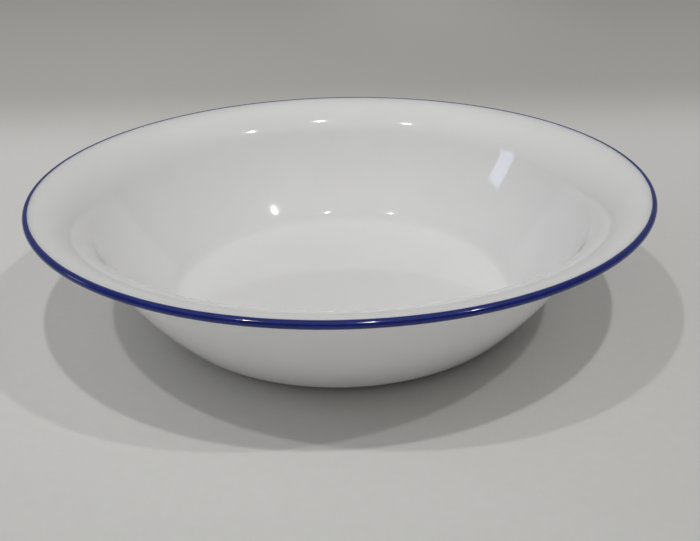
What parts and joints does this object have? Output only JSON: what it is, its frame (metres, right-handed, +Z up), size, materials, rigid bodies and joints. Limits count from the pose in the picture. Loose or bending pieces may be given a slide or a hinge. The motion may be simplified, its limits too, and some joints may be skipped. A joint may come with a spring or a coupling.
{
  "type": "cereal bowl",
  "caption": "Round white glass cereal bowl with a flat floor, a steep hollow wall that flares to a narrow brim, a thin lip edged with blue enamel, and a low foot ring.",
  "frame": {"origin": "centre of the foot ring, on the surface that the bowl stands on", "axes": "+Z up along the bowl's axis of revolution; X and Y are equal, because the bowl is round"},
  "size_m": [0.1834, 0.1834, 0.0422],
  "materials": {
    "white_glass": "polished",
    "blue_enamel": "gloss"
  },
  "bodies": {
    "root": {"bowl_body": "white_glass", "rim_band": "blue_enamel"}
  },
  "joints": []
}
